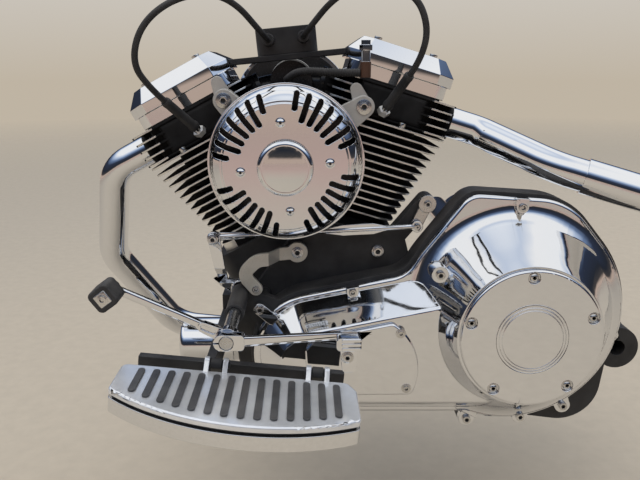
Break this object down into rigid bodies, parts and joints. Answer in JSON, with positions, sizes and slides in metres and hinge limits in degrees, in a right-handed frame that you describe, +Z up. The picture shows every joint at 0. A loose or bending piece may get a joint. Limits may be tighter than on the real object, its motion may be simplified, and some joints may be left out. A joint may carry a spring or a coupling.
{
  "type": "v-twin motorcycle powertrain with left foot controls",
  "caption": "Air-cooled V-twin engine, chrome primary drive and gearbox as one unit, with slotted round side cover, heel-and-toe shifter, folding footboard and exhaust headers",
  "frame": {"origin": "middle of the swingarm pivot bore through the rear of the gearbox", "axes": "+X to the motorcycle's rear, -Y to its left, +Z up; the pivot bore runs along Y"},
  "size_m": [0.8603, 0.5531, 0.5959],
  "materials": {
    "chrome": "polished chrome plating",
    "black_paint": "black crackle paint on castings",
    "bare_aluminium": "satin bare aluminium",
    "steel": "plated steel",
    "rubber": "black rubber",
    "black_plastic": "black moulded plastic"
  },
  "bodies": {
    "powertrain": {"outer_primary": "chrome", "clutch_cover": "chrome", "inspection_cover": "chrome", "cam_cover": "chrome", "front_rocker_box": "chrome", "rear_rocker_box": "chrome", "slotted_cover": "chrome", "hub_cap": "chrome", "toe_lever": "chrome", "heel_lever": "chrome", "shift_rod": "chrome", "rear_header": "chrome", "front_header": "chrome", "heat_shield": "chrome", "pushrod_tubes": "chrome", "tappet_blocks": "chrome", "gearbox_side_cover": "chrome", "gearbox_top_cover": "chrome", "starter_motor": "chrome", "air_cleaner_cover": "chrome", "oil_filter": "chrome", "crankcase": "black_paint", "inner_primary": "black_paint", "front_cylinder": "black_paint", "rear_cylinder": "black_paint", "front_head": "black_paint", "rear_head": "black_paint", "gearbox_case": "black_paint", "cover_back": "black_paint", "footboard_support": "black_paint", "front_engine_mount": "black_paint", "air_cleaner_base": "black_paint", "oil_pan": "black_paint", "top_mount_bracket": "black_paint", "cover_bracket": "bare_aluminium", "curved_stay": "bare_aluminium", "shift_arm": "bare_aluminium", "intake_manifold": "bare_aluminium", "throttle_body": "bare_aluminium", "gearbox_shift_lever": "bare_aluminium", "shift_shaft": "steel", "fuel_fitting": "steel", "toe_peg": "rubber", "front_plug_lead": "rubber", "rear_plug_lead": "rubber", "spark_plugs": "rubber", "fuel_hose": "rubber", "ignition_coil": "black_plastic"},
    "footboard": {"footboard_plate": "chrome", "footboard_isolator": "rubber", "footboard_pan": "chrome", "footboard_pads": "rubber"},
    "pulley": {"final_drive_pulley": "steel"}
  },
  "joints": [
    {"name": "footboard_fold", "type": "hinge", "parent": "powertrain", "child": "footboard", "pos_m": [-0.663, -0.258, 0.067], "axis": [-0.9945, 0, 0.1045], "range_deg": [0, 20]},
    {"name": "pulley_spin", "type": "hinge", "parent": "powertrain", "child": "pulley", "pos_m": [-0.1735, -0.073, 0.071], "axis": [0, -1, 0], "continuous": true}
  ]
}
